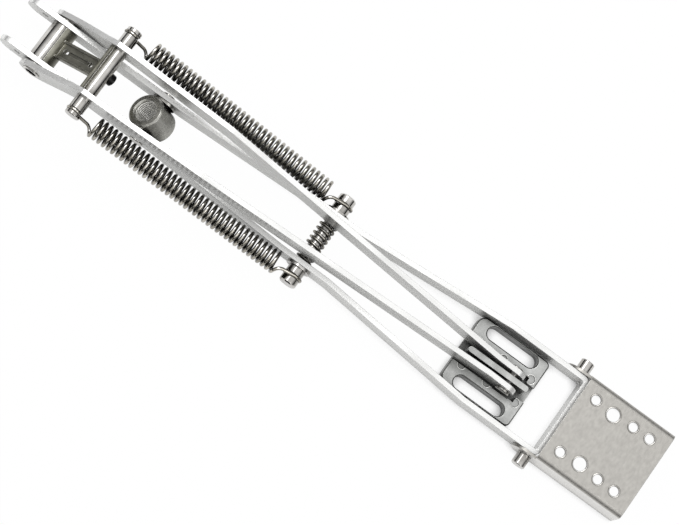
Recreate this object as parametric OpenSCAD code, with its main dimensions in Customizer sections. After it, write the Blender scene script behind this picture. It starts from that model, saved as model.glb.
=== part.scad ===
// Automatic greenhouse vent opener, lying folded.
// A lift arm, bent from one flat bar into a long U, and a pair of boomerang base arms share the main
// hinge at the origin. A swivel nut between the lift arm's legs holds the cylinder, whose rod
// pushes the cross shaft and opens the two like a compass. Two extension springs fold them again.
// X runs along the lift arm to the sash, Y runs along every pivot, Z is up.

/* [Flat bar] */
// Height of the lift arm's flat bar
bar_h = 15.5; // [13:0.5:16]
// Height of the base arms' flat bars
base_h = 16.5; // [14:0.5:17.5]
// Thickness of the flat bar
bar_t = 3; // [2:0.1:3.4]

/* [Lift arm] */
// Distance from the main hinge to the sash pivot
lift_reach = 343; // [330:1:380]
// Distance from the main hinge to the centre of the arm's round tail
lift_tail = 16.7; // [15:0.1:30]
// Middle of each leg from the centre plane, at the main hinge and the nut
lift_half_hinge = 13; // [12.5:0.1:15]
// Middle of each leg from the centre plane, at the spring anchor
lift_half_anchor = 16.5; // [15.5:0.1:18]
// Distance from the sash pivot to the outside of the arm's closed end
lift_nose = 6; // [5.5:0.1:8]
// Radius of the two bends at the closed end, along the middle of the bar
nose_r = 3; // [3:0.5:8]
// Diameter of the small hole in each tail
tail_hole_d = 4; // [2:0.5:6]
// Distance of that hole from the centre of the round tail
tail_hole_in = 4; // [0:0.5:5]
// Straight stretch of the legs past the nut
nut_flat = 10; // [9:1:20]
// Straight stretch of the legs before the anchor shaft
anchor_flat_before = 14; // [10:1:20]
// Straight stretch of the legs past the anchor shaft
anchor_flat_after = 17; // [10:1:20]
// Distance before the frame pivot at which the legs reach their full width
splay_stop = 15; // [12:1:20]

/* [Base arms] */
// Distance between the frame pivot and the sash pivot, folded
pivot_gap = 31; // [30:0.5:60]
// Distance from the frame pivot to the end of the base arms
base_nose = 6.4; // [6:0.2:8.2]
// Straight stretch of the base arms before the frame pivot
frame_flat = 12; // [10:1:16]
// Straight stretch of the base arms past the hinge rivet's rim
rim_flat = 2; // [1:0.5:3]
// Straight stretch of the base arms on each side of the cross shaft
cross_flat = 10; // [8:1:12]
// Height of the frame pivot above the lift arm's middle line
base_end_z = 3.5; // [2:0.5:6]
// Distance from the main hinge to the elbow where the base arms start to fall
elbow_x = 109; // [80:1:140]
// Height of that elbow above the lift arm's middle line
elbow_z = 22.5; // [20:0.5:26]
// Middle of each base arm from the centre plane, at the cross shaft
base_half_cross = 16.3; // [16.3:0.1:17]
// Middle of each base arm from the centre plane, at the elbow
base_half_elbow = 15; // [12:0.1:16]

/* [Main hinge] */
// Outside diameter of the tubular rivet that is the hinge pin
hinge_pin_d = 9; // [8:0.5:10]
// Bore of the tubular rivet
hinge_bore_d = 7.2; // [5:0.1:7.4]
// Diameter of the rivet's rolled rims
hinge_rim_d = 10.6; // [10.2:0.1:13]
// Thickness of the rivet's rolled rims
hinge_rim_t = 0.8; // [0.5:0.1:1.2]
// Outside diameter of the tube that spaces the lift arm's legs
hinge_tube_d = 14; // [12:0.5:15]
// Diameter of the washers between the arms
hinge_washer_d = 14; // [12.5:0.5:15]
// Thickness of the washers between the arms
hinge_washer_t = 0.8; // [0.5:0.1:1.2]

/* [Cross shaft and strut] */
// Distance from the main hinge to the cross shaft, along the lift arm
cross_x = 33.8; // [32:0.2:38]
// Height of the cross shaft above the lift arm's middle line
cross_z = 22; // [20:0.5:25]
// Diameter of the cross shaft
cross_d = 9; // [8:0.5:10]
// Length of the cross shaft
cross_l = 59; // [58:0.5:64]
// Distance of the shaft's hook grooves from the centre plane
cross_groove_y = 26.3; // [25.5:0.1:26.8]
// Depth of those grooves
cross_groove_deep = 1.6; // [1:0.1:2]
// Width of the strut's stem
strut_w = 10.8; // [8:0.2:14]
// Thickness of the strut's stem
strut_t = 3; // [2:0.2:4]
// Wall of the strut's two saddles
saddle_t = 1.5; // [1:0.1:2]
// Share of the tube's radius at which its saddle starts
tube_saddle = 0.86; // [0.6:0.02:0.9]
// Width of the rims along the stem
strut_rim_w = 1.2; // [0.8:0.1:2]
// Height of those rims
strut_rim_h = 1.2; // [0.6:0.1:2]
// Diameter of the holes at the stem's ends
strut_hole_d = 3; // [2:0.2:4]
// Distance from each saddle to its hole
strut_hole_in = 3.5; // [2.5:0.1:5]
// Width of the groove between the holes
strut_slot_w = 2; // [1:0.2:3]
// Depth of that groove
strut_slot_deep = 1; // [0.4:0.1:1.4]
// Diameter of the cup that the piston rod pushes
cup_d = 6.8; // [6:0.2:8]
// How far the cup stands out of the cross shaft
cup_l = 2.4; // [2:0.2:5]
// Bore of the cup
cup_bore_d = 4; // [3:0.2:4.2]
// Depth of the cup's bore
cup_depth = 4.5; // [3.5:0.5:6]
// Diameter of the cup's shank in the cross shaft
cup_shank_d = 4.8; // [4.6:0.1:5.4]
// Depth of that shank past the shaft's middle
cup_shank_in = 1.5; // [0.5:0.5:2.5]

/* [Spring anchor] */
// Distance from the main hinge to the spring anchor
anchor_x = 181.4; // [174:0.2:192]
// Diameter of the anchor shaft
anchor_d = 7.3; // [6:0.1:8]
// Length of the anchor shaft over its spools
anchor_l = 60; // [59:0.5:66]
// Diameter of the spools that hold the spring hooks
spool_d = 10.3; // [9.8:0.1:12]
// Distance of the spools' hook grooves from the centre plane
anchor_groove_y = 24.5; // [24.3:0.1:26]
// Depth of those grooves
spool_groove_deep = 1.1; // [0.8:0.1:1.2]
// Diameter of the washers outside the lift arm
anchor_washer_d = 14.6; // [12:0.2:16]
// Thickness of those washers
anchor_washer_t = 1.4; // [1:0.1:1.6]
// Outside diameter of the coil that spaces the lift arm's legs
spacer_d = 10.9; // [10.6:0.1:12]
// Wire diameter of that coil
spacer_wire_d = 1.5; // [1:0.1:1.6]
// Number of turns of that coil
spacer_turns = 9; // [6:1:11]

/* [Return springs] */
// Wire diameter of the return springs
wire_d = 1.8; // [1.4:0.1:1.9]
// Outside diameter of a return spring's coil
coil_d = 13; // [11:0.5:13.4]
// Number of turns of a return spring
coil_turns = 40; // [30:1:44]
// Straight distance from the cross shaft to a return spring's first turn
coil_start = 14; // [13:0.5:18]
// Straight distance from a return spring's last turn to the anchor shaft
coil_stop = 11.5; // [11:0.5:16]
// Length over which the wire bends from its lead into the coil
lead_bend = 4.5; // [3:0.5:5]
// Distance that a lead wanders sideways to meet the coil
lead_off = 0.5; // [0.3:0.1:0.8]

/* [Swivel nut] */
// Distance from the main hinge to the nut's trunnions
nut_x = 68.4; // [64:0.2:77]
// Outside diameter of the nut
nut_d = 20.4; // [19:0.2:21]
// Length of the nut
nut_l = 19; // [16:0.5:22]
// Core diameter of the nut's thread
nut_bore_d = 13; // [11:0.5:13.4]
// Angle at which the nut stands on its lower rim, from level
nut_tilt = 57; // [40:1:65]
// Chamfer on the nut's rims
nut_chamfer = 0.8; // [0.3:0.1:1]
// Distance of the nut's side flats from the centre plane
nut_flat_y = 9.9; // [9.2:0.1:10]
// Diameter of the trunnion pins
trunnion_d = 6; // [5:0.5:7]
// Wall left between the trunnion pins and the nut's thread
trunnion_wall = 0.6; // [0.4:0.1:1]
// Diameter of the trunnion pins' heads
trunnion_head_d = 8.4; // [7.8:0.2:10]
// Thickness of the trunnion pins' heads
trunnion_head_t = 1.6; // [1:0.1:2]
// Diameter of the trunnion washers
trunnion_washer_d = 14.8; // [12:0.2:15]

/* [Frame bracket] */
// Length of the frame bracket, along the arms
bracket_l = 47; // [44:0.5:52]
// Width of the frame bracket
bracket_w = 43.8; // [42:0.2:44]
// Thickness of the frame bracket
bracket_h = 9.5; // [9:0.1:11]
// Radius of the corners at the bracket's back
bracket_r = 4.5; // [3:0.5:5]
// Radius of the corners at the bracket's front
bracket_front_r = 3; // [2.5:0.5:5]
// Chamfer round the bracket's top
bracket_chamfer = 0.8; // [0.4:0.1:1.2]
// Distance from the frame pivot to the bracket's front edge
bracket_front = 14.5; // [13.5:0.5:17]
// Width of the screw slots
slot_w = 8; // [6:0.2:8.4]
// Length of the screw slots, end to end
slot_l = 33; // [26:0.5:34]
// Distance of the screw slots from the centre plane
slot_y = 16.7; // [16:0.1:16.8]
// Bevel round the top of each slot
slot_bevel = 0.7; // [0.2:0.1:0.8]
// Thickness of the bracket's middle web, which holds the pivot
web_t = 3.3; // [3:0.1:4]
// Length of the middle web
web_l = 40; // [38:0.5:43]
// Height of the middle web above the bracket's underside
web_h = 20; // [18.5:0.5:22]
// Gap on each side between the web and a base arm
web_gap = 1.9; // [1.6:0.1:2.4]
// Gap between a base arm and the bracket's troughs
trough_gap = 0.7; // [0.5:0.1:1]
// Diameter of the frame pivot
frame_pin_d = 6; // [5:0.2:7]
// Diameter of the frame pivot's heads
frame_head_d = 9; // [8:0.2:9.6]
// Thickness of the frame pivot's heads
frame_head_t = 1.4; // [1:0.1:2.4]
// Diameter of the round marks in the bracket's face
mark_d = 5.4; // [4:0.2:6]
// Depth of those marks
mark_deep = 0.4; // [0.2:0.1:0.8]
// Distance of the marks from the centre plane
mark_y = 8; // [7.5:0.1:8.6]
// Distance from the bracket's back to the first marks
mark_back = 6.5; // [5:0.5:9]
// Distance from the last marks to the bracket's front
mark_front = 4.4; // [4:0.2:6]
// Distance that the slots sit forward of the bracket's middle
slot_shift = 0.5; // [0:0.1:1]
// Distance from the bracket's back to its web
web_inset = 3.5; // [3:0.5:5]
// Depth to which the web is rooted in the bracket
web_root = 0.5; // [0.2:0.1:1]
// Room round the frame pivot's heads
head_room = 0.8; // [0.5:0.1:1]

/* [Sash plate] */
// Thickness of the sash plate's sheet
sheet_t = 1.6; // [1.2:0.1:2]
// Length of the sash plate
plate_l = 56.5; // [54:0.5:64]
// Distance from the sash pivot to the plate's front edge
plate_front = 5; // [4.5:0.5:8]
// Height of the plate's top above the sash pivot
plate_top = 13.3; // [12.5:0.1:15]
// Depth of the plate's flanges below the sash pivot
plate_drop = 9; // [8.5:0.1:9.6]
// Outside radius of the bends along the flanges
plate_bend_r = 3.8; // [2.2:0.1:4]
// Diameter of the six screw holes
screw_d = 5.5; // [4:0.1:6.5]
// Diameter of the two larger holes
bolt_d = 7.7; // [6:0.1:8.6]
// Distance of the screw holes from the centre plane
screw_y = 17.7; // [15:0.1:20]
// Distance of the larger holes from the centre plane
bolt_y = 16.6; // [14:0.1:20]
// Distances of the four pairs of holes from the plate's front edge
hole_x = [8.8, 21.3, 34.2, 45.3];
// Diameter of the sash pins' bosses outside the plate
sash_boss_d = 8.2; // [7.5:0.1:9]
// Distance from the centre plane to the end of a boss
sash_boss_end = 35.4; // [33:0.2:38]
// Diameter of the sash pins inside the plate and the arm
sash_pin_d = 6; // [5:0.5:7]

/* [Fits] */
// Radial clearance of a pin that turns in its hole
run_fit = 0.06; // [0.03:0.01:0.09]
// Play beside a piece that turns on a pin
side_gap = 0.12; // [0.1:0.01:0.16]
// Play of a spring's hook between the sides of its groove
groove_play = 0.4; // [0.2:0.1:0.6]
// Play between a spring's hook and the bottom of its groove
hook_play = 0.2; // [0.15:0.05:0.3]
// Play between the rod's cup and the strut's notch for it
cup_play = 0.3; // [0.1:0.1:0.6]
// Gap between the frame bracket and the legs of the lift arm
bracket_gap = 1.5; // [1.5:0.1:2.5]

/* [Hidden] */
$fn = 64;

LIFT = "#e9e9e6";
STEEL = "#b9b8b4";
DARK_STEEL = "#6d6a60";
CAST = "#8f908d";
SHEET = "#b9b7b5";
eps = 0.01;
end_facets = 24;
edge_break = 0.4;

// Faces of the arms at each station, measured from the centre plane
lift_in_hinge = lift_half_hinge - bar_t / 2;
lift_out_hinge = lift_half_hinge + bar_t / 2;
lift_in_anchor = lift_half_anchor - bar_t / 2;
lift_out_anchor = lift_half_anchor + bar_t / 2;
lift_half_sash = bracket_w / 2 + bracket_gap + bar_t / 2;
lift_in_sash = lift_half_sash - bar_t / 2;
lift_out_sash = lift_half_sash + bar_t / 2;
base_in_hinge = lift_out_hinge + hinge_washer_t + 2 * side_gap;
base_half_hinge = base_in_hinge + bar_t / 2;
base_out_hinge = base_in_hinge + bar_t;
base_reach = lift_reach - pivot_gap;
base_in_cross = base_half_cross - bar_t / 2;
base_half_frame = web_t / 2 + web_gap + bar_t / 2;
base_out_frame = base_half_frame + bar_t / 2;

// The lift arm's legs stay parallel round each pivot and splay between them
nut_flat_end = nut_x + nut_flat;
anchor_flat_start = anchor_x - anchor_flat_before;
anchor_flat_end = anchor_x + anchor_flat_after;
splay_end = base_reach - splay_stop;
base_flat_start = base_reach - frame_flat;

// The nut stands on its lower rim and the sash plate on its flanges, so the arms slope a little
nut_drop = max(nut_l / 2 * sin(nut_tilt) + (nut_d / 2 - nut_chamfer) * cos(nut_tilt),
               (nut_l / 2 - nut_chamfer) * sin(nut_tilt) + nut_d / 2 * cos(nut_tilt));
arm_slope = asin((nut_drop - plate_drop) / (lift_reach - nut_x));
floor_z = -lift_reach * sin(arm_slope) - plate_drop;
pivot_h = base_end_z * cos(arm_slope) - base_reach * sin(arm_slope) - floor_z;

cross_reach = norm([cross_x, cross_z]);
cross_angle = atan2(cross_z, cross_x);
cup_angle = atan2(-cross_z, nut_x - cross_x);
groove_w = wire_d + groove_play;
cross_groove_d = cross_d - 2 * cross_groove_deep;
spool_groove_d = spool_d - 2 * spool_groove_deep;
trunnion_in = nut_bore_d / 2 + trunnion_wall;
plate_in = lift_out_sash + side_gap;
plate_out = plate_in + sheet_t;
base_half_back = base_half_frame + (base_half_elbow - base_half_frame)
    * (base_flat_start - (base_reach + bracket_front - bracket_l)) / (base_flat_start - elbow_x);
trough_half = base_half_back + bar_t / 2 + trough_gap;
trough_floor = pivot_h - base_h / 2 - trough_gap;

// Position of a point of the sloping linkage, given in its own X and Z
function on_slope(x, z) = [x * cos(arm_slope) + z * sin(arm_slope), 0,
                           z * cos(arm_slope) - x * sin(arm_slope)];

module sloped() rotate([0, arm_slope, 0]) children();

// Points at equal steps on both sides of a path, which together outline a strip of even width
function unit(v) = v / norm(v);
function left_of(v) = [-v.y, v.x];
function beside(path, d) = [for (i = [0:len(path) - 1]) let (
    before = unit(i == 0 ? path[1] - path[0] : path[i] - path[i - 1]),
    after = i == len(path) - 1 ? before : unit(path[i + 1] - path[i]),
    n = unit(left_of(before) + left_of(after)))
    path[i] + n * d / (n * left_of(before))];
function reversed(list) = [for (i = [len(list) - 1:-1:0]) list[i]];
function mirrored(path) = [for (p = path) [p.x, -p.y]];

module strip(path, width) polygon(concat(beside(path, width / 2), reversed(beside(path, -width / 2))));

// Round end of a bar, from its left edge to its right, without the points on the edges themselves
function end_round(p, ahead, reach, half) =
    [for (i = [1:end_facets - 1]) let (a = 90 - 180 * i / end_facets)
    p + reach * cos(a) * ahead + half * sin(a) * left_of(ahead)];

// Side view of a bar whose middle line runs through the given points, with round ends
module bar_side(points, width, nose = 0) {
    last = len(points) - 1;
    half = width / 2;
    polygon(concat(
        beside(points, half),
        end_round(points[last], unit(points[last] - points[last - 1]), nose > 0 ? nose : half, half),
        reversed(beside(points, -half)),
        end_round(points[0], unit(points[0] - points[1]), half, half)));
}

// Turns a side view, drawn in X and Z, into a solid of the given depth along Y
module deep(depth) rotate([90, 0, 0]) linear_extrude(height = depth, center = true) children();

// Cylinder along Y at a point of the side view, between two distances from the centre plane
module y_rod(x, z, d, y0, y1) translate([x, y1, z]) rotate([90, 0, 0]) cylinder(d = d, h = y1 - y0);

module both_sides() {
    children();
    mirror([0, 1, 0]) children();
}

module y_washer(x, z, d, bore, y0, y1) difference() {
    y_rod(x, z, d, y0, y1);
    y_rod(x, z, bore, y0 - eps, y1 + eps);
}

// Turned piece along Y from a list of [distance along Y, radius] points
module y_turned(x, z, profile) translate([x, 0, z]) rotate([-90, 0, 0]) rotate_extrude()
    polygon(concat([[0, profile[0].x]], [for (p = profile) [p.y, p.x]],
                   [[0, profile[len(profile) - 1].x]]));

// Wire swept along a path of points, with the section carried along without twist
function carried(n, along) = unit(n - (n * along) * along);
function tangents(path) = [for (i = [0:len(path) - 1])
    unit(path[min(i + 1, len(path) - 1)] - path[max(i - 1, 0)])];
module wire(path, d, sides) {
    along = tangents(path);
    normals = [for (i = 0, n = carried([0, 1, 0.1], along[0]); i < len(path);
        i = i + 1, n = i < len(path) ? carried(n, along[i]) : n) n];
    rings = [for (i = [0:len(path) - 1]) for (k = [0:sides - 1])
        path[i] + d / 2 * (cos(360 * k / sides) * normals[i] +
                           sin(360 * k / sides) * cross(along[i], normals[i]))];
    last = (len(path) - 1) * sides;
    walls = [for (i = [0:len(path) - 2]) for (k = [0:sides - 1])
        [i * sides + k, i * sides + (k + 1) % sides,
         (i + 1) * sides + (k + 1) % sides, (i + 1) * sides + k]];
    polyhedron(rings, concat([[for (k = [sides - 1:-1:0]) k]], walls,
                             [[for (k = [0:sides - 1]) last + k]]));
}

function curve(p, steps) = [for (i = [0:steps]) let (t = i / steps, s = 1 - t)
    s * s * s * p[0] + 3 * s * s * t * p[1] + 3 * s * t * t * p[2] + t * t * t * p[3]];

module lift_arm() color(LIFT) sloped() {
    end_x = lift_reach + lift_nose - bar_t / 2;
    leg = [[-lift_tail - bar_h, lift_half_hinge], [nut_flat_end, lift_half_hinge],
           [anchor_flat_start, lift_half_anchor], [anchor_flat_end, lift_half_anchor],
           [splay_end, lift_half_sash]];
    corner = [for (a = [90:-15:0])
        [end_x - nose_r + nose_r * cos(a), lift_half_sash - nose_r + nose_r * sin(a)]];
    half = concat(leg, corner);
    difference() {
        intersection() {
            linear_extrude(height = bar_h + 2, center = true)
                strip(concat(half, reversed(mirrored(half))), bar_t);
            deep(2 * lift_half_sash + 2 * bar_t)
                bar_side([[-lift_tail, 0], [lift_reach + lift_nose + bar_h, 0]], bar_h);
        }
        for (hole = [[-lift_tail + tail_hole_in, tail_hole_d], [0, hinge_pin_d + 2 * run_fit],
                     [nut_x, trunnion_d], [anchor_x, anchor_d], [lift_reach, sash_pin_d]])
            y_rod(hole[0], 0, hole[1], -lift_half_sash - bar_t, lift_half_sash + bar_t);
    }
}

module base_arm() color(LIFT) sloped() difference() {
    plan = [[-base_h, base_half_hinge], [hinge_rim_d / 2 + rim_flat, base_half_hinge],
            [cross_x - cross_flat, base_half_cross], [cross_x + cross_flat, base_half_cross],
            [elbow_x, base_half_elbow], [base_flat_start, base_half_frame],
            [base_reach + base_h, base_half_frame]];
    intersection() {
        translate([0, 0, -base_h]) linear_extrude(height = elbow_z + 3 * base_h) strip(plan, bar_t);
        deep(2 * base_half_hinge + 2 * bar_t)
            bar_side([[0, 0], [cross_x, cross_z], [elbow_x, elbow_z], [base_reach, base_end_z]],
                     base_h, base_nose);
    }
    y_rod(0, 0, hinge_pin_d, 0, 2 * base_half_hinge);
    y_rod(cross_x, cross_z, cross_d, 0, 2 * base_half_cross);
    y_rod(base_reach, base_end_z, frame_pin_d + 2 * run_fit, 0, 2 * base_half_frame);
}

module base_arm_left() base_arm();

module base_arm_right() mirror([0, 1, 0]) base_arm();

module hinge_pin() color(STEEL) difference() {
    rim = base_out_hinge + hinge_rim_t;
    y_turned(0, 0, [[-rim, hinge_rim_d / 2 - edge_break], [-rim + edge_break, hinge_rim_d / 2],
                    [-base_out_hinge, hinge_rim_d / 2],
                    [-base_out_hinge, hinge_pin_d / 2], [base_out_hinge, hinge_pin_d / 2],
                    [base_out_hinge, hinge_rim_d / 2],
                    [rim - edge_break, hinge_rim_d / 2], [rim, hinge_rim_d / 2 - edge_break]]);
    y_rod(0, 0, hinge_bore_d, -rim - 1, rim + 1);
}

module hinge_tube() color(STEEL)
    y_washer(0, 0, hinge_tube_d, hinge_pin_d + 2 * run_fit,
             -lift_in_hinge + side_gap, lift_in_hinge - side_gap);

module hinge_washers() color(STEEL) both_sides()
    y_washer(0, 0, hinge_washer_d, hinge_pin_d + 2 * run_fit,
             lift_out_hinge + side_gap, base_in_hinge - side_gap);

// Stem between the hinge tube and the cross shaft, with a curved saddle against each
module strut() color(DARK_STEEL) sloped() rotate([0, -cross_angle, 0]) {
    tube_r = hinge_tube_d / 2;
    shaft_r = cross_d / 2;
    shaft_half = base_in_cross - side_gap;
    tube_half = lift_in_hinge - 2 * side_gap;
    holes = [tube_r + saddle_t + strut_hole_in, cross_reach - shaft_r - saddle_t - strut_hole_in];
    stem = cross_reach - tube_r - shaft_r;
    difference() {
        union() {
            translate([tube_r, -strut_w / 2, -strut_t / 2]) cube([stem, strut_w, strut_t]);
            for (y = [-strut_w / 2, strut_w / 2 - strut_rim_w]) translate([tube_r, y, -strut_t / 2])
                cube([stem, strut_rim_w, strut_t + strut_rim_h]);
            intersection() {
                y_rod(0, 0, hinge_tube_d + 2 * saddle_t, -tube_half, tube_half);
                translate([tube_r * tube_saddle, -2 * strut_w, -tube_r])
                    cube([tube_r * 2, 4 * strut_w, 2 * tube_r]);
            }
            intersection() {
                y_rod(cross_reach, 0, cross_d + 2 * saddle_t, -shaft_half, shaft_half);
                translate([cross_reach - cross_d, -shaft_half - 1, -shaft_r - saddle_t])
                    cube([cross_d, 2 * shaft_half + 2, cross_d + 2 * saddle_t]);
            }
        }
        y_rod(0, 0, hinge_tube_d, -2 * strut_w, 2 * strut_w);
        y_rod(cross_reach, 0, cross_d, -2 * shaft_half, 2 * shaft_half);
        for (x = holes) translate([x, 0, -strut_t]) cylinder(d = strut_hole_d, h = 3 * strut_t);
        translate([holes[0], -strut_slot_w / 2, strut_t / 2 - strut_slot_deep])
            cube([holes[1] - holes[0], strut_slot_w, strut_t]);
        translate([cross_reach, 0, 0]) rotate([0, 90 - cup_angle + cross_angle, 0])
            cylinder(d = cup_d + cup_play, h = 2 * cross_d);
    }
}

module cross_shaft() color(STEEL) sloped() difference() {
    half = cross_l / 2;
    g = cross_groove_y;
    r = cross_d / 2;
    side = [[g - groove_w / 2, r], [g - groove_w / 2, cross_groove_d / 2],
            [g + groove_w / 2, cross_groove_d / 2],
            [g + groove_w / 2, r], [half - edge_break, r], [half, r - edge_break]];
    y_turned(cross_x, cross_z, concat([for (p = reversed(side)) [-p.x, p.y]], side));
    translate([cross_x, 0, cross_z]) rotate([0, 90 - cup_angle, 0]) translate([0, 0, -cup_shank_in])
        cylinder(d = cup_shank_d, h = 2 * cross_d);
}

// Cup for the end of the piston rod, pressed into the cross shaft and pointing at the nut
module rod_cup() color(DARK_STEEL) sloped() translate([cross_x, 0, cross_z]) rotate([0, 90 - cup_angle, 0]) {
    r = cross_d / 2;
    difference() {
        union() {
            translate([0, 0, -cup_shank_in]) cylinder(d = cup_shank_d, h = cup_shank_in + r);
            difference() {
                cylinder(d = cup_d, h = r + cup_l);
                rotate([90, 0, 0]) cylinder(d = cross_d, h = 2 * cup_d, center = true);
            }
        }
        translate([0, 0, r + cup_l - cup_depth]) cylinder(d = cup_bore_d, h = cup_depth + 1);
    }
}

module anchor_shaft() color(STEEL) sloped() y_rod(anchor_x, 0, anchor_d, -anchor_l / 2, anchor_l / 2);

module anchor_spool() color(STEEL) sloped() difference() {
    g = anchor_groove_y;
    r = spool_d / 2;
    start = lift_out_anchor + side_gap + anchor_washer_t;
    y_turned(anchor_x, 0, [[start, r], [g - groove_w / 2, r], [g - groove_w / 2, spool_groove_d / 2],
                           [g + groove_w / 2, spool_groove_d / 2], [g + groove_w / 2, r],
                           [anchor_l / 2 - 2 * edge_break, r], [anchor_l / 2, r - 2 * edge_break]]);
    y_rod(anchor_x, 0, anchor_d, 0, anchor_l);
}

module anchor_spool_left() anchor_spool();

module anchor_spool_right() mirror([0, 1, 0]) anchor_spool();

module anchor_washers() color(STEEL) sloped() both_sides()
    y_washer(anchor_x, 0, anchor_washer_d, anchor_d + 2 * run_fit, lift_out_anchor + side_gap / 2,
             lift_out_anchor + side_gap / 2 + anchor_washer_t);

module anchor_spacer() color(STEEL) sloped() {
    r = (spacer_d - spacer_wire_d) / 2;
    half = lift_in_anchor - spacer_wire_d / 2 - side_gap;
    steps = 12 * spacer_turns;
    wire([for (i = [0:steps]) let (a = 360 * spacer_turns * i / steps)
          [anchor_x + r * cos(a), -half + 2 * half * i / steps, r * sin(a)]], spacer_wire_d, 6);
}

// One return spring: a loop in the cross shaft's groove, a lead, the coil, a lead and a loop at the anchor
module return_spring(side) {
    start = [cross_x, side * cross_groove_y, cross_z];
    stop = [anchor_x, side * anchor_groove_y, 0];
    span = norm(stop - start);
    pitch_down = atan2(start.z - stop.z, stop.x - start.x);
    swing = asin((stop.y - start.y) / span);
    r = (coil_d - wire_d) / 2;
    near_r = (cross_groove_d + wire_d) / 2 + hook_play;
    far_r = (spool_groove_d + wire_d) / 2 + hook_play;
    coil_end = span - coil_stop;
    lead_in = coil_start - lead_bend;
    lead_out = coil_end + lead_bend;
    steps = 10 * coil_turns;
    near_loop = [for (a = [30:30:240]) [near_r * cos(a), 0, near_r * sin(a)]];
    near_lead = concat([[0, 0, -near_r], [lead_in / 2, -lead_off / 2, -near_r]],
        curve([[lead_in, -lead_off, -near_r], [coil_start - 1.2, -2 * lead_off, -near_r],
               [coil_start, -r, -0.8 * r], [coil_start, -r, 0]], 5));
    coil = [for (i = [1:steps - 1]) let (a = 360 * coil_turns * i / steps)
            [coil_start + (coil_end - coil_start) * i / steps, -r * cos(a), r * sin(a)]];
    far_lead = concat(
        curve([[coil_end, -r, 0], [coil_end, -r, 0.8 * r],
               [coil_end + 1, -4 * lead_off, far_r], [lead_out, -2 * lead_off, far_r]], 5),
        [[(lead_out + span) / 2, -lead_off, far_r], [span, 0, far_r]]);
    far_loop = [for (a = [60:-30:-150]) [span + far_r * cos(a), 0, far_r * sin(a)]];
    color(STEEL) sloped() translate(start) rotate([0, pitch_down, 0]) rotate([0, 0, swing])
        wire(concat(near_loop, near_lead, coil, far_lead, far_loop), wire_d, 5);
}

module return_spring_left() return_spring(1);

module return_spring_right() return_spring(-1);

// Places the nut's own axis, which leans up towards the hinge
module on_trunnion() translate(on_slope(nut_x, 0)) children();

module swivel_nut() color(CAST) on_trunnion() difference() {
    rotate([0, nut_tilt - 90, 0]) difference() {
        intersection() {
            translate([0, 0, -nut_l / 2]) rotate_extrude() polygon([[0, 0], [nut_d / 2 - nut_chamfer, 0],
                [nut_d / 2, nut_chamfer], [nut_d / 2, nut_l - nut_chamfer],
                [nut_d / 2 - nut_chamfer, nut_l], [0, nut_l]]);
            cube([2 * nut_d, 2 * nut_flat_y, 2 * nut_l], center = true);
        }
        cylinder(d = nut_bore_d, h = 2 * nut_l, center = true);
        for (end = [0, 180]) rotate([end, 0, 0]) translate([0, 0, nut_l / 2 - nut_chamfer])
            cylinder(r1 = nut_bore_d / 2, r2 = nut_bore_d / 2 + 2 * nut_chamfer, h = 2 * nut_chamfer);
    }
    both_sides() y_rod(0, 0, trunnion_d + 2 * run_fit, trunnion_in, nut_d);
}

module trunnion_pins() color(STEEL) on_trunnion() both_sides() {
    head = lift_out_hinge + side_gap;
    y_rod(0, 0, trunnion_d, trunnion_in + side_gap, head);
    y_turned(0, 0, [[head, trunnion_head_d / 2], [head + trunnion_head_t - edge_break, trunnion_head_d / 2],
                    [head + trunnion_head_t, trunnion_head_d / 2 - edge_break]]);
}

module trunnion_washers() color(STEEL) on_trunnion() both_sides()
    y_washer(0, 0, trunnion_washer_d, trunnion_d + 2 * run_fit, nut_flat_y, lift_in_hinge - side_gap);

// Places the frame bracket: origin on its underside below the pivot
module on_frame() translate([on_slope(base_reach, base_end_z).x, 0, floor_z]) children();

module bracket_outline(inset) for (y = [-1, 1]) {
    translate([bracket_front - bracket_l + bracket_r, y * (bracket_w / 2 - bracket_r)])
        circle(r = bracket_r - inset, $fn = 32);
    translate([bracket_front - bracket_front_r, y * (bracket_w / 2 - bracket_front_r)])
        circle(r = bracket_front_r - inset, $fn = 32);
}

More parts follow.
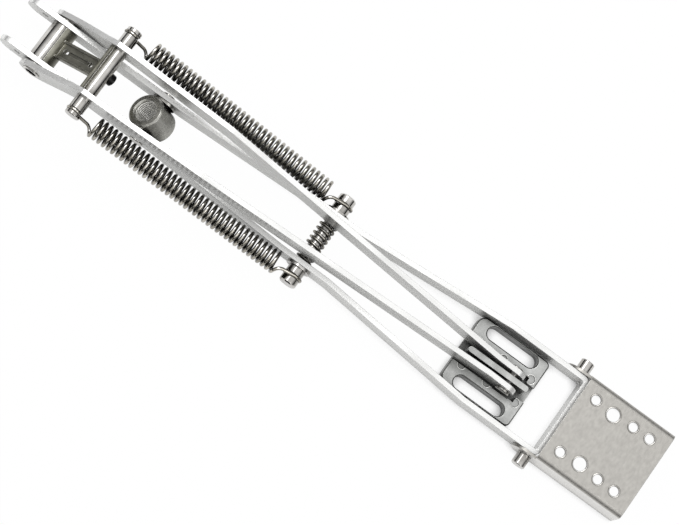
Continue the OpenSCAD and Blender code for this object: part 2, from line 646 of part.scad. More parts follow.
module frame_bracket() color(CAST) on_frame() {
    back = bracket_front - bracket_l;
    middle = (bracket_front + back) / 2 + slot_shift;
    web_back = back + web_inset;
    top_cut = bracket_h + 1;
    difference() {
        hull() {
            linear_extrude(height = bracket_h - bracket_chamfer) bracket_outline(0);
            linear_extrude(height = bracket_h) bracket_outline(bracket_chamfer);
        }
        for (side = [-1, 1]) translate([middle, side * slot_y, -1]) for (end = [-1, 1]) {
            translate([end * (slot_l - slot_w) / 2, 0, 0]) cylinder(d = slot_w, h = top_cut + 1);
            translate([-(slot_l - slot_w) / 2, -slot_w / 2, 0]) cube([slot_l - slot_w, slot_w, top_cut + 1]);
        }
        for (side = [-1, 1]) hull() for (end = [-1, 1])
            translate([middle + end * (slot_l - slot_w) / 2, side * slot_y, bracket_h - slot_bevel])
                cylinder(r1 = slot_w / 2, r2 = slot_w / 2 + 2 * slot_bevel, h = 2 * slot_bevel, $fn = 48);
        translate([back - 1, -trough_half, trough_floor])
            cube([1 - back + base_h / 2 + trough_gap, 2 * trough_half, top_cut]);
        translate([0, -base_half_frame, trough_floor]) cube([bracket_l, 2 * base_half_frame, top_cut]);
        translate([-frame_head_d / 2 - head_room, -base_out_frame - frame_head_t - head_room,
                   pivot_h - frame_head_d / 2 - head_room])
            cube([frame_head_d + 2 * head_room, 2 * (base_out_frame + frame_head_t + head_room), top_cut]);
        for (x = [back + mark_back, middle - slot_shift, bracket_front - mark_front]) for (side = [-1, 1])
            translate([x, side * mark_y, bracket_h - mark_deep]) cylinder(d = mark_d, h = 1);
    }
    difference() {
        translate([0, 0, trough_floor - web_root]) linear_extrude(height = web_h - trough_floor + web_root)
            bar_side([[web_back + web_t / 2, 0], [web_back + web_l - web_t / 2, 0]], web_t);
        y_rod(0, pivot_h, frame_pin_d, -web_t, web_t);
    }
}

module frame_pin() color(STEEL) on_frame() {
    head = base_out_frame + side_gap;
    end = head + frame_head_t;
    r = frame_head_d / 2;
    y_turned(0, pivot_h, [[-end, r - edge_break], [-end + edge_break, r], [-head, r], [-head, frame_pin_d / 2],
                          [head, frame_pin_d / 2], [head, r], [end - edge_break, r], [end, r - edge_break]]);
}

// Places the sash plate: origin at the sash pivot, plate level
module on_sash() translate(on_slope(lift_reach, 0)) children();

module sash_plate() color(SHEET) on_sash() {
    right = plate_front + plate_l;
    r = plate_bend_r;
    difference() {
        intersection() {
            translate([-plate_l, 0, 0]) rotate([90, 0, 90]) linear_extrude(height = 3 * plate_l) difference() {
                union() {
                    translate([-plate_out, -2 * plate_drop])
                        square([2 * plate_out, 2 * plate_drop + plate_top - r]);
                    translate([-plate_out + r, 0]) square([2 * (plate_out - r), plate_top]);
                    for (side = [-1, 1]) translate([side * (plate_out - r), plate_top - r]) circle(r = r);
                }
                union() {
                    translate([-plate_in, -3 * plate_drop])
                        square([2 * plate_in, 3 * plate_drop + plate_top - r]);
                    translate([-plate_in + r - sheet_t, 0])
                        square([2 * (plate_in - r + sheet_t), plate_top - sheet_t]);
                    for (side = [-1, 1])
                        translate([side * (plate_out - r), plate_top - r]) circle(r = r - sheet_t);
                }
            }
            deep(3 * plate_out) {
                circle(r = plate_drop);
                translate([0, -plate_drop]) square([right, plate_drop]);
                translate([plate_front, -plate_drop]) square([plate_l, plate_drop + plate_top]);
                square([plate_front, plate_drop]);
            }
        }
        for (i = [0:3]) both_sides() translate([plate_front + hole_x[i], i == 1 ? bolt_y : screw_y, 0])
            cylinder(d = i == 1 ? bolt_d : screw_d, h = 2 * plate_top);
        y_rod(0, 0, sash_pin_d + 2 * run_fit, -2 * plate_out, 2 * plate_out);
    }
}

module sash_pins() color(STEEL) on_sash() both_sides() {
    boss = plate_out + side_gap;
    y_turned(0, 0, [[lift_in_sash, sash_pin_d / 2], [boss, sash_pin_d / 2], [boss, sash_boss_d / 2],
                    [sash_boss_end - edge_break, sash_boss_d / 2],
                    [sash_boss_end, sash_boss_d / 2 - edge_break]]);
}

lift_arm();
base_arm_left();
base_arm_right();
hinge_pin();
hinge_tube();
hinge_washers();
strut();
cross_shaft();
rod_cup();
anchor_shaft();
anchor_spool_left();
anchor_spool_right();
anchor_spacer();
anchor_washers();
return_spring_left();
return_spring_right();
swivel_nut();
trunnion_pins();
trunnion_washers();
frame_bracket();
frame_pin();
sash_plate();
sash_pins();
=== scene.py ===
import math

import bmesh
import bpy
from mathutils import Matrix, Vector


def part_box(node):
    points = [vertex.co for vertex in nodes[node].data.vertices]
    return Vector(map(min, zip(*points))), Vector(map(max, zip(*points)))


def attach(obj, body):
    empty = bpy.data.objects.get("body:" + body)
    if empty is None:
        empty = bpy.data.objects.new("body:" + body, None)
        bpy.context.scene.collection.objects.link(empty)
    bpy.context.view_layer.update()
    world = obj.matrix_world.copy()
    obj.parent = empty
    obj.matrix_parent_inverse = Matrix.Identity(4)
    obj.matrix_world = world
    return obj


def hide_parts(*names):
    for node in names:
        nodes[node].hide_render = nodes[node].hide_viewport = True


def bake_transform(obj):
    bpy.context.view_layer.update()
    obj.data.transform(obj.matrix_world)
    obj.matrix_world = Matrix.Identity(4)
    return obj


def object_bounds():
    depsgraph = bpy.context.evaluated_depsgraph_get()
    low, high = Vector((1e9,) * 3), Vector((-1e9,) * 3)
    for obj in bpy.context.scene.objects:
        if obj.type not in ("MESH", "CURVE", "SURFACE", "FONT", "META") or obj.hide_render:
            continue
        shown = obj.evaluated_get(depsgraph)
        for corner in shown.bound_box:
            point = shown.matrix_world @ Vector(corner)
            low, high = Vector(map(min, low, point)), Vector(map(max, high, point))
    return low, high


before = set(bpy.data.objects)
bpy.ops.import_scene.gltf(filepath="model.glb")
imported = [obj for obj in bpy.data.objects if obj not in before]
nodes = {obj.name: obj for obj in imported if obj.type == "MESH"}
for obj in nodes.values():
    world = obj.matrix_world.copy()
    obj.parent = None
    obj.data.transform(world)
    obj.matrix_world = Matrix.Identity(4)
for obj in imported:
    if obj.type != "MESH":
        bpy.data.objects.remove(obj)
cad_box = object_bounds()

# Lift arm: one flat aluminium bar, sheared, tumbled bright and bent into a long U whose two legs
# carry every pivot. Its edges look up and shine; its faces are painted greyer, painted shade for the
# sides the light misses, and keep fine scratches along the bar. Its gaps to other parts get painted shade.
BAR_WHITE = (0.90, 0.90, 0.89)
BAR_DULL = (0.82, 0.82, 0.81)
BAR_SIDE_SHADE = (0.62, 0.62, 0.605)
ALONG_BAR = (0.12, 1, 1)
MOTTLE_SPAN = (0.35, 0.65)
GRAIN_SPAN = (0.55, 1.35)
GRAIN_SHARE = 0.35
LEVEL_WAYS_SPAN = (0.5, 0.2)
STRAIGHT_UP_SPAN = (0.965, 0.992)
ON_EDGE_SPAN = (0.99, 0.90)
HOLLOW_FROM = 0.3
GLOSS_SPAN = (0.7, 1.3)
RELIEF_DEPTH = 0.0002


def noise(tree, vector, scale, detail):
    """Soft noise, 0 to 1, in a piece's own coordinates."""
    node = tree.nodes.new("ShaderNodeTexNoise")
    node.inputs["Scale"].default_value = scale
    node.inputs["Detail"].default_value = detail
    tree.links.new(vector, node.inputs["Vector"])
    return node.outputs["Fac"]


def spread(tree, value, low, high, to_low=0.0, to_high=1.0):
    """Carries the values from low to high over to another span, and clamps them there."""
    node = tree.nodes.new("ShaderNodeMapRange")
    node.inputs["From Min"].default_value = low
    node.inputs["From Max"].default_value = high
    node.inputs["To Min"].default_value = to_low
    node.inputs["To Max"].default_value = to_high
    tree.links.new(value, node.inputs["Value"])
    return node.outputs["Result"]


def painted(tree, skin, mask, tint):
    """Lays a tint over the skin, a plain tint or a socket, where the mask is 1."""
    node = tree.nodes.new("ShaderNodeMix")
    node.data_type = "RGBA"
    node.inputs["B"].default_value = (*tint, 1)
    tree.links.new(mask, node.inputs["Factor"])
    if isinstance(skin, tuple):
        node.inputs["A"].default_value = (*skin, 1)
    else:
        tree.links.new(skin, node.inputs["A"])
    return node.outputs["Result"]


def shaded(tree, skin, shade, share):
    """Multiplies the skin by a grey value, to the given share."""
    node = tree.nodes.new("ShaderNodeMix")
    node.data_type = "RGBA"
    node.blend_type = "MULTIPLY"
    node.inputs["Factor"].default_value = share
    tree.links.new(skin, node.inputs["A"])
    tree.links.new(shade, node.inputs["B"])
    return node.outputs["Result"]


def metal(name, tint, dull, rough, grain, bump, stretch=(1, 1, 1), mottle=160, metallic=1.0, edge=0.0003,
          crevice_shade=0.6, reach=0.007, open_at=0.85, side_shading=None, worn=None, crest_highlight=None):
    """Worn metal: two tints mixed by soft mottling, a stretched grain and softened edges, with painted
    shade: the colour darkened in crevices and between parts, within a reach. Where asked, another tint
    goes on the faces that look level ways (side_shading, a painted tint for how the light falls on
    upright faces), on the edges (worn) or, as a painted highlight, on what looks straight up
    (crest_highlight)."""
    material = bpy.data.materials.new(name)
    material.use_nodes = True
    tree = material.node_tree
    shader = tree.nodes["Principled BSDF"]
    shader.inputs["Metallic"].default_value = metallic
    place = tree.nodes.new("ShaderNodeTexCoord")
    along = tree.nodes.new("ShaderNodeMapping")
    along.inputs["Scale"].default_value = stretch
    tree.links.new(place.outputs["Object"], along.inputs["Vector"])
    fine = noise(tree, along.outputs["Vector"], grain, 3.0)
    soft = noise(tree, place.outputs["Object"], mottle, 2.0)
    skin = painted(tree, tuple(tint), spread(tree, soft, *MOTTLE_SPAN), dull)
    skin = shaded(tree, skin, spread(tree, fine, 0.0, 1.0, *GRAIN_SPAN), GRAIN_SHARE)
    if side_shading or crest_highlight:
        facing = tree.nodes.new("ShaderNodeSeparateXYZ")
        tree.links.new(place.outputs["Normal"], facing.inputs["Vector"])
    # Painted side shading: upright faces get their own tint, darker or paler than the rest, for how the
    # light falls on them.
    if side_shading:
        steep = tree.nodes.new("ShaderNodeMath")
        steep.operation = "ABSOLUTE"
        tree.links.new(facing.outputs["Z"], steep.inputs[0])
        skin = painted(tree, skin, spread(tree, steep.outputs["Value"], *LEVEL_WAYS_SPAN), side_shading)
    # Painted highlight: a bright tint where the surface looks straight up.
    if crest_highlight:
        skin = painted(tree, skin, spread(tree, facing.outputs["Z"], *STRAIGHT_UP_SPAN), crest_highlight)
    rounded = tree.nodes.new("ShaderNodeBevel")
    rounded.samples = 8
    rounded.inputs["Radius"].default_value = edge
    if worn:
        flat = tree.nodes.new("ShaderNodeNewGeometry")
        level = tree.nodes.new("ShaderNodeVectorMath")
        level.operation = "DOT_PRODUCT"
        tree.links.new(flat.outputs["Normal"], level.inputs[0])
        tree.links.new(rounded.outputs["Normal"], level.inputs[1])
        skin = painted(tree, skin, spread(tree, level.outputs["Value"], *ON_EDGE_SPAN), worn)
    # Painted shade: the colour darkened where ambient occlusion finds other surfaces within the reach, in
    # crevices and between parts.
    hollow = tree.nodes.new("ShaderNodeAmbientOcclusion")
    hollow.samples = 4
    hollow.inputs["Distance"].default_value = reach
    skin = shaded(tree, skin, spread(tree, hollow.outputs["AO"], HOLLOW_FROM, open_at, 1 - crevice_shade), 1.0)
    tree.links.new(skin, shader.inputs["Base Color"])
    gloss = spread(tree, fine, 0.0, 1.0, *(rough * part for part in GLOSS_SPAN))
    tree.links.new(gloss, shader.inputs["Roughness"])
    relief = tree.nodes.new("ShaderNodeBump")
    relief.inputs["Strength"].default_value = bump
    relief.inputs["Distance"].default_value = RELIEF_DEPTH
    tree.links.new(fine, relief.inputs["Height"])
    tree.links.new(rounded.outputs["Normal"], relief.inputs["Normal"])
    tree.links.new(relief.outputs["Normal"], shader.inputs["Normal"])
    return material


def dress(node, material):
    """Gives a CAD node its finish."""
    nodes[node].data.materials.clear()
    nodes[node].data.materials.append(material)


bar_finish = metal("tumbled_bar", BAR_WHITE, BAR_DULL, rough=0.28, grain=260, bump=0.05, stretch=ALONG_BAR,
                   mottle=40, metallic=0.62, edge=0.0004, crevice_shade=0.4, side_shading=BAR_SIDE_SHADE)
dress("lift_arm", bar_finish)

# Base arms: two shorter flat bars, bent like boomerangs, riveted to the outside of the hinge and
# meeting either side of the frame bracket's web. Same bright tumbled bar as the lift arm.
for side in ("left", "right"):
    dress("base_arm_" + side, bar_finish)

# Turned steel: the tubular hinge rivet, the cross shaft, the anchor shaft and its spools, the
# pivots and their washers. Bright drawn steel with fine rings from the lathe and rubbed edges.
STEEL_BRIGHT = (0.66, 0.645, 0.62)
STEEL_DULL = (0.44, 0.425, 0.40)
STEEL_RUBBED = (0.86, 0.85, 0.83)
LATHE_RINGS = (0.3, 1, 0.3)
turned_finish = metal("turned_steel", STEEL_BRIGHT, STEEL_DULL, rough=0.13, grain=420, bump=0.10,
                      stretch=LATHE_RINGS, mottle=90, worn=STEEL_RUBBED)
for node in ("hinge_pin", "hinge_tube", "hinge_washers", "cross_shaft", "anchor_shaft",
             "anchor_spool_left", "anchor_spool_right", "anchor_washers", "trunnion_pins",
             "trunnion_washers", "frame_pin", "sash_pins"):
    dress(node, turned_finish)

# Strut and rod cup: a steel yoke between the hinge tube and the cross shaft, dull olive grey
# from its plating, and the small cup in the shaft that the piston rod pushes.
STRUT_OLIVE = (0.42, 0.41, 0.35)
STRUT_DULL = (0.25, 0.245, 0.205)
STRUT_RUBBED = (0.80, 0.79, 0.75)
CUP_BLACK = (0.045, 0.045, 0.045)
CUP_DEEP = (0.02, 0.02, 0.02)
dress("strut", metal("plated_strut", STRUT_OLIVE, STRUT_DULL, rough=0.30, grain=300, bump=0.2, mottle=120,
                     worn=STRUT_RUBBED))
dress("rod_cup", metal("blackened_cup", CUP_BLACK, CUP_DEEP, rough=0.34, grain=300, bump=0.15))

# Return springs: bright spring wire wound into a long open coil, its ends led to the middle and
# bent round the grooves of the cross shaft and of the anchor spools. The coil hangs a little flatter
# than the line between its hooks, its turns lean back a few degrees, and it stretches between them.
WIRE_R = 0.00098
COIL_R = 0.0056
COIL_TURNS = 40
COIL_START = 0.014
COIL_STOP = 0.0115
LEAD_IN = (0.0095, -0.0005)
LEAD_OUT = (0.0045, -0.0012)
NEAR_HANDLE = (-0.0012, -0.001)
FAR_HANDLE = (0.001, -0.002)
COIL_SIDE = 0.8 * COIL_R
COIL_LIFT = 0.0018
COIL_LEAN = 0.08
SHAFT_GROOVE_Y = 0.0263
SHAFT_GROOVE_R = 0.0029
SPOOL_GROOVE_Y = 0.0245
SPOOL_GROOVE_R = 0.00405
HOOK_PLAY = 0.0002
HOOK_STEP = 12
NEAR_HOOK = (40, 256)
FAR_HOOK = (78, -151)
TURN_STEPS = 22
WIRE_SIDES = 10
BEND_STEPS = 10
STRAIGHT_STEPS = 4
WIRE_BRIGHT = (0.50, 0.475, 0.425)
WIRE_DULL = (0.27, 0.255, 0.22)
WIRE_CREST_HIGHLIGHT = (0.98, 0.97, 0.95)
# Painted highlight: the crest of each turn, where the wire looks straight up, is tinted near white. Painted
# shade: the wire is darkened deeply where the turns hide each other, so the back turns read dark.
spring_finish = metal("spring_wire", WIRE_BRIGHT, WIRE_DULL, rough=0.14, grain=500, bump=0.08,
                      crevice_shade=0.95, reach=0.014, open_at=0.97, crest_highlight=WIRE_CREST_HIGHLIGHT)


def draw_wire(bm, points, radius, sides=WIRE_SIDES):
    """Sweeps a round wire through the points: one ring, extruded and carried from point to point."""
    heading = (points[1] - points[0]).normalized()
    turn = Vector((0, 0, 1)).rotation_difference(heading).to_matrix().to_4x4()
    first = bmesh.ops.create_circle(bm, cap_ends=True, segments=sides, radius=radius,
                                    matrix=Matrix.Translation(points[0]) @ turn)["verts"]
    ring = [e for e in bm.edges if e.verts[0] in first and e.verts[1] in first]
    for i in range(1, len(points)):
        after = points[i + 1] - points[i] if i + 1 < len(points) else points[i] - points[i - 1]
        ahead = ((points[i] - points[i - 1]).normalized() + after.normalized()).normalized()
        made = bmesh.ops.extrude_edge_only(bm, edges=ring)["geom"]
        verts = [g for g in made if isinstance(g, bmesh.types.BMVert)]
        ring = [g for g in made if isinstance(g, bmesh.types.BMEdge)]
        swing = heading.rotation_difference(ahead).to_matrix().to_4x4()
        move = Matrix.Translation(points[i]) @ swing @ Matrix.Translation(-points[i - 1])
        bmesh.ops.transform(bm, matrix=move, verts=verts)
        heading = ahead
    bmesh.ops.contextual_create(bm, geom=ring)
    bmesh.ops.recalc_face_normals(bm, faces=bm.faces)


def as_piece(bm, name, material, smooth=True):
    """Turns the finished bmesh into a piece at the origin with its finish."""
    mesh = bpy.data.meshes.new(name)
    bm.to_mesh(mesh)
    bm.free()
    mesh.materials.append(material)
    for face in mesh.polygons:
        face.use_smooth = smooth
    piece = bpy.data.objects.new(name, mesh)
    bpy.context.scene.collection.objects.link(piece)
    return piece


def bend(start, leave, arrive, stop, steps):
    """Points of a smooth lead that leaves and arrives in the directions of its two handles."""
    points = []
    for i in range(1, steps + 1):
        t = i / steps
        s = 1 - t
        points.append(start * s ** 3 + 3 * leave * s * s * t + 3 * arrive * s * t * t + stop * t ** 3)
    return points


shaft_low, shaft_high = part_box("cross_shaft")
shaft_mid = (shaft_low + shaft_high) / 2
shaft_mid.y = 0
anchor_low, anchor_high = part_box("anchor_shaft")
anchor_mid = (anchor_low + anchor_high) / 2
anchor_mid.y = 0
for name, side in (("left", 1), ("right", -1)):
    start = shaft_mid + Vector((0, side * SHAFT_GROOVE_Y, 0))
    stop = anchor_mid + Vector((0, side * SPOOL_GROOVE_Y, 0))
    span = (stop - start).length
    near = SHAFT_GROOVE_R + WIRE_R + HOOK_PLAY
    far = SPOOL_GROOVE_R + WIRE_R + HOOK_PLAY
    end = span - COIL_STOP
    path = [Vector((near * math.cos(a), 0, near * math.sin(a)))
            for a in (math.radians(d) for d in range(*NEAR_HOOK, HOOK_STEP))]
    lead_end = Vector((*LEAD_IN, -near))
    path += [Vector((0, 0, -near)).lerp(lead_end, i / STRAIGHT_STEPS) for i in range(STRAIGHT_STEPS + 1)]
    path += bend(lead_end, Vector((COIL_START + NEAR_HANDLE[0], NEAR_HANDLE[1], -near)),
                 Vector((COIL_START, -COIL_R, -COIL_SIDE)), Vector((COIL_START, -COIL_R, 0)), BEND_STEPS)
    count = COIL_TURNS * TURN_STEPS
    for i in range(1, count):
        a = 2 * math.pi * COIL_TURNS * i / count
        x = COIL_START + (end - COIL_START) * i / count
        path.append(Vector((x, -COIL_R * math.cos(a), COIL_R * math.sin(a))))
    lead_start = Vector((end + LEAD_OUT[0], LEAD_OUT[1], far))
    path += bend(Vector((end, -COIL_R, 0)), Vector((end, -COIL_R, COIL_SIDE)),
                 Vector((end + FAR_HANDLE[0], FAR_HANDLE[1], far)), lead_start, BEND_STEPS)
    path += [lead_start.lerp(Vector((span, 0, far)), i / STRAIGHT_STEPS)
             for i in range(1, STRAIGHT_STEPS + 1)]
    path += [Vector((span + far * math.cos(a), 0, far * math.sin(a)))
             for a in (math.radians(d) for d in range(*FAR_HOOK, -HOOK_STEP))]
    for point in path:
        along_coil = 2 * (point.x - COIL_START) / (end - COIL_START) - 1
        taper = min(1, max(0, point.x / COIL_START)) * min(1, max(0, (span - point.x) / (span - end)))
        point.x -= COIL_LEAN * point.z * taper
        point.z += COIL_LIFT * min(1, max(-1, along_coil)) * taper
    bm = bmesh.new()
    draw_wire(bm, path, WIRE_R)
    across = Vector((0, 1, 0))
    along = (stop - start).normalized()
    up = along.cross(across).normalized()
    across = up.cross(along)
    turn = Matrix((along, across, up)).transposed().to_4x4()
    bmesh.ops.transform(bm, matrix=Matrix.Translation(start) @ turn, verts=bm.verts)
    spring = as_piece(bm, "return_coil_" + name, spring_finish)
    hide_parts("return_spring_" + name)
    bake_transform(spring)
    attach(spring, "lift_frame")

# Anchor spacer: a short open coil of the same wire, slipped over the anchor shaft to keep the two
# legs of the lift arm apart.
SPACER_R = 0.0047
SPACER_WIRE_R = 0.00075
SPACER_TURNS = 9
SPACER_STEPS = 28
low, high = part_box("anchor_spacer")
half = (high.y - low.y) / 2 - SPACER_WIRE_R
count = SPACER_TURNS * SPACER_STEPS
path = []
for i in range(count + 1):
    a = 2 * math.pi * SPACER_TURNS * i / count
    y = -half + 2 * half * i / count
    path.append(anchor_mid + Vector((SPACER_R * math.cos(a), y, SPACER_R * math.sin(a))))
bm = bmesh.new()
draw_wire(bm, path, SPACER_WIRE_R)
spacer = as_piece(bm, "spacer_coil", spring_finish)
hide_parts("anchor_spacer")
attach(spacer, "lift_frame")

# Frame bracket: a grey zinc die-casting with two long slots, a trough for the base arms and a web
# for their pin. Its skin is fine and slightly pitted, and worn brighter on the edges.
CAST_GREY = (0.53, 0.535, 0.525)
CAST_DULL = (0.41, 0.415, 0.405)
CAST_RUBBED = (0.84, 0.84, 0.82)
# Painted shade darkens its slots, its trough and the gaps beside the arms.
dress("frame_bracket", metal("die_cast", CAST_GREY, CAST_DULL, rough=0.36, grain=600, bump=0.15, mottle=150,
                             crevice_shade=0.85, reach=0.012, worn=CAST_RUBBED))

# Ejector marks: the die's ejector pins leave six shallow round marks in the bracket's top, those
# beside the trough cut to half-moons. Each has a fine raised burr that handling has worn bright.
BURR_R = 0.00026
MARK_R = 0.0027
MARK_Y = 0.008
BRACKET_H = 0.0095
MARKS = ((-0.026, 8, 172), (-0.009, 8, 172), (0.0101, -114, 172))
ARC_STEPS = 32
BURR_SIDES = 8
BURR_BRIGHT = (0.90, 0.90, 0.88)
BURR_DULL = (0.78, 0.78, 0.76)
burr_finish = metal("worn_burr", BURR_BRIGHT, BURR_DULL, rough=0.28, grain=500, bump=0.08, metallic=0.6,
                    crevice_shade=0.2)
low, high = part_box("frame_pin")
pin_x = (low.x + high.x) / 2
top_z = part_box("frame_bracket")[0].z + BRACKET_H
bm = bmesh.new()
for along, first_turn, last_turn in MARKS:
    for side in (1, -1):
        arc = []
        for i in range(ARC_STEPS + 1):
            a = math.radians(first_turn + (last_turn - first_turn) * i / ARC_STEPS)
            x = pin_x + along + MARK_R * math.cos(a)
            arc.append(Vector((x, side * (MARK_Y + MARK_R * math.sin(a)), top_z)))
        draw_wire(bm, arc, BURR_R, BURR_SIDES)
burrs = as_piece(bm, "ejector_marks", burr_finish)
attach(burrs, "frame_bracket")

# Swivel nut: a darker casting of the same kind, bored and tapped for the cylinder. The thread is cut
# after casting, so it shines; it is wound here as a fine ridge along the whole bore.
NUT_GREY = (0.50, 0.495, 0.46)
NUT_DULL = (0.37, 0.365, 0.34)
NUT_RUBBED = (0.80, 0.79, 0.76)
dress("swivel_nut", metal("dark_cast", NUT_GREY, NUT_DULL, rough=0.28, grain=500, bump=0.12, mottle=110,
                          worn=NUT_RUBBED))
NUT_TILT = math.radians(57)
THREAD_R = 0.0065
THREAD_PITCH = 0.0015
THREAD_HALF = 0.0085
RIDGE_R = 0.00045
RIDGE_SIDES = 6
RIDGE_STEPS = 30
low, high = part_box("trunnion_pins")
nut_mid = (low + high) / 2
turns = 2 * THREAD_HALF / THREAD_PITCH
count = int(turns * RIDGE_STEPS)
path = []
for i in range(count + 1):
    a = 2 * math.pi * turns * i / count
    z = THREAD_PITCH * turns * (i / count - 0.5)
    path.append(Vector((THREAD_R * math.cos(a), THREAD_R * math.sin(a), z)))
bm = bmesh.new()
draw_wire(bm, path, RIDGE_R, RIDGE_SIDES)
tilt = Matrix.Rotation(NUT_TILT - math.pi / 2, 4, "Y")
bmesh.ops.transform(bm, matrix=Matrix.Translation(nut_mid) @ tilt, verts=bm.verts)
CUT_BRIGHT = (0.88, 0.87, 0.84)
CUT_DULL = (0.74, 0.73, 0.70)
cut_finish = metal("cut_thread", CUT_BRIGHT, CUT_DULL, rough=0.26, grain=500, bump=0.08, metallic=0.6,
                   crevice_shade=0.2)
thread = as_piece(bm, "nut_thread", cut_finish)
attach(thread, "swivel_nut")

# Sash plate: warm grey sheet steel, sheared, folded down along both edges and punched with eight
# screw holes. It turns on the two bossed pins at the lift arm's end and is screwed to the window.
SHEET_WARM = (0.455, 0.442, 0.415)
SHEET_DULL = (0.425, 0.412, 0.387)
SHEET_SIDE_LIGHT = (0.80, 0.79, 0.77)
ACROSS_SHEET = (1, 0.5, 1)
# Painted light: the faces that look level ways, its flanges and the walls of its holes, get a much paler
# tint for the lamps catching them.
dress("sash_plate", metal("folded_sheet", SHEET_WARM, SHEET_DULL, rough=0.42, grain=700, bump=0.12,
                          stretch=ACROSS_SHEET, mottle=260, side_shading=SHEET_SIDE_LIGHT))

# Punched rims: a fine lip round each of the eight holes in the bright turned-steel finish, a painted
# highlight for the lit walls of the holes. One thin ring per hole, half sunk in the plate.
RIM_R = 0.00042
RIM_SIDES = 8
RIM_STEPS = 32
SCREW_R = 0.00275
BOLT_R = 0.00385
HOLE_PAIRS = ((0.0088, 0.0177, SCREW_R), (0.0213, 0.0166, BOLT_R), (0.0342, 0.0177, SCREW_R),
              (0.0453, 0.0177, SCREW_R))
PIN_TO_PLATE = 0.005
UPRIGHT = Matrix.Rotation(math.pi / 2, 4, "X")
low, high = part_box("sash_pins")
plate_front = (low.x + high.x) / 2 + PIN_TO_PLATE
plate_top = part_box("sash_plate")[1].z
bm = bmesh.new()
for along, across, radius in HOLE_PAIRS:
    for side in (1, -1):
        middle = Vector((plate_front + along, side * across, plate_top))
        stand = Matrix.Translation(middle + Vector((radius + RIM_R, 0, 0))) @ UPRIGHT
        lip = bmesh.ops.create_circle(bm, segments=RIM_SIDES, radius=RIM_R, matrix=stand)["verts"]
        edges = list({e for v in lip for e in v.link_edges})
        bmesh.ops.spin(bm, geom=lip + edges, cent=middle, axis=(0, 0, 1), angle=2 * math.pi,
                       steps=RIM_STEPS, use_merge=True)
bmesh.ops.recalc_face_normals(bm, faces=bm.faces)
rims = as_piece(bm, "punched_rims", turned_finish)
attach(rims, "sash_bracket")

# Photographer's table: a plain pale surface under the opener. It looks white to the camera and, by
# half, in reflections, but gives way to its own shaded paper close to the metal, which keeps the shadow.
TABLE_HALF = 6.0
TABLE_MIDDLE = 0.2
TABLE_DROP = 0.0002
PAPER = (0.88, 0.88, 0.88)
PAPER_ROUGH = 0.9
MIRRORED_SHARE = 0.5
SHADOW_REACH = 0.006
CLEAR_SPAN = (0.2, 0.75)
LIT_SHARE = 0.985
floor_z = cad_box[0][2]
bm = bmesh.new()
bmesh.ops.create_grid(bm, x_segments=1, y_segments=1, size=TABLE_HALF)
bmesh.ops.translate(bm, vec=(TABLE_MIDDLE, 0, floor_z - TABLE_DROP), verts=bm.verts)
table = bpy.data.materials.new("pale_table")
table.use_nodes = True
tree = table.node_tree
paper = tree.nodes["Principled BSDF"]
paper.inputs["Base Color"].default_value = (*PAPER, 1)
paper.inputs["Roughness"].default_value = PAPER_ROUGH
glow = tree.nodes.new("ShaderNodeEmission")
glow.inputs["Color"].default_value = (1, 1, 1, 1)
seen = tree.nodes.new("ShaderNodeLightPath")
mirrored = tree.nodes.new("ShaderNodeMath")
mirrored.operation = "MULTIPLY"
mirrored.inputs[1].default_value = MIRRORED_SHARE
tree.links.new(seen.outputs["Is Glossy Ray"], mirrored.inputs[0])
either = tree.nodes.new("ShaderNodeMath")
either.operation = "MAXIMUM"
tree.links.new(seen.outputs["Is Camera Ray"], either.inputs[0])
tree.links.new(mirrored.outputs["Value"], either.inputs[1])
open_sky = tree.nodes.new("ShaderNodeAmbientOcclusion")
open_sky.samples = 8
open_sky.inputs["Distance"].default_value = SHADOW_REACH
share = tree.nodes.new("ShaderNodeMath")
share.operation = "MULTIPLY"
tree.links.new(either.outputs["Value"], share.inputs[0])
tree.links.new(spread(tree, open_sky.outputs["AO"], *CLEAR_SPAN, 0.0, LIT_SHARE), share.inputs[1])
blend = tree.nodes.new("ShaderNodeMixShader")
tree.links.new(share.outputs["Value"], blend.inputs["Fac"])
tree.links.new(paper.outputs["BSDF"], blend.inputs[1])
tree.links.new(glow.outputs["Emission"], blend.inputs[2])
tree.links.new(blend.outputs["Shader"], tree.nodes["Material Output"].inputs["Surface"])
floor = as_piece(bm, "table_top", table, smooth=False)

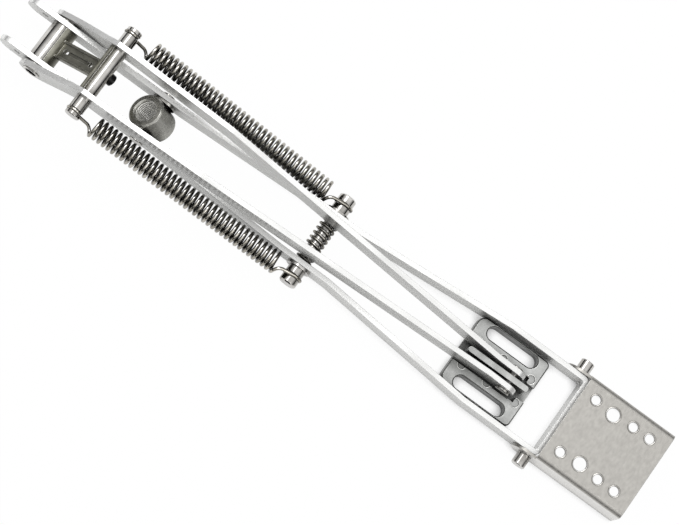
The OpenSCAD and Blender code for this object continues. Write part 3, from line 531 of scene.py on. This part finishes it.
# Studio: a white ceiling that darkens towards the walls, so that round metal shows dark lines, and
# two large soft lamps.
WALL = (0.02, 0.02, 0.02)
WALL_TOP = 0.25
CEILING = (1, 1, 1)
CEILING_EDGE = 0.75
CENTRE = Vector((0.195, -0.003, 0))
LAMPS = (("key", (-0.5, 0.7, 1.3), 0.9, 10), ("fill", (1.1, -0.5, 1.2), 1.0, 6))
world = bpy.data.worlds.new("studio")
bpy.context.scene.world = world
world.use_nodes = True
tree = world.node_tree
where = tree.nodes.new("ShaderNodeTexCoord")
height = tree.nodes.new("ShaderNodeSeparateXYZ")
tree.links.new(where.outputs["Generated"], height.inputs["Vector"])
sky = tree.nodes.new("ShaderNodeValToRGB")
wall, ceiling = sky.color_ramp.elements
wall.position = WALL_TOP
wall.color = (*WALL, 1)
ceiling.position = CEILING_EDGE
ceiling.color = (*CEILING, 1)
tree.links.new(height.outputs["Z"], sky.inputs["Fac"])
tree.links.new(sky.outputs["Color"], tree.nodes["Background"].inputs["Color"])
tree.nodes["Background"].inputs["Strength"].default_value = 1.0
for name, place, size, power in LAMPS:
    lamp = bpy.data.lights.new(name, "AREA")
    lamp.size = size
    lamp.energy = power
    holder = bpy.data.objects.new(name, lamp)
    holder.location = CENTRE + Vector(place)
    holder.rotation_euler = (CENTRE - holder.location).to_track_quat("-Z", "Y").to_euler()
    bpy.context.scene.collection.objects.link(holder)

# Camera: a long lens nearly straight above the opener, turned so that it lies across the frame. Its
# place and tilt were fitted to the shaft ends, holes and slots that the photograph shows.
TILT = math.radians(11.5)
LEAN = math.radians(-1.185)
ROLL = math.radians(-0.104)
TURN = math.atan2(0.588, 0.809)
AIM = Vector((0.1981, -0.00327, 0))
DISTANCE = 1.4306
SENSOR = 36.0
LENS_PIXELS = 2600
PHOTO_PIXELS = 679
camera = bpy.data.cameras.new("photo_camera")
camera.sensor_width = SENSOR
camera.lens = SENSOR * LENS_PIXELS / PHOTO_PIXELS
camera.clip_end = 20
holder = bpy.data.objects.new("photo_camera", camera)
turn = Matrix.Rotation(LEAN, 4, "Y") @ Matrix.Rotation(TILT, 4, "X") @ Matrix.Rotation(ROLL + TURN, 4, "Z")
holder.matrix_world = Matrix.Translation(AIM) @ turn @ Matrix.Translation((0, 0, DISTANCE))
bpy.context.scene.collection.objects.link(holder)
bpy.context.scene.camera = holder
bpy.context.scene.view_settings.view_transform = "Standard"
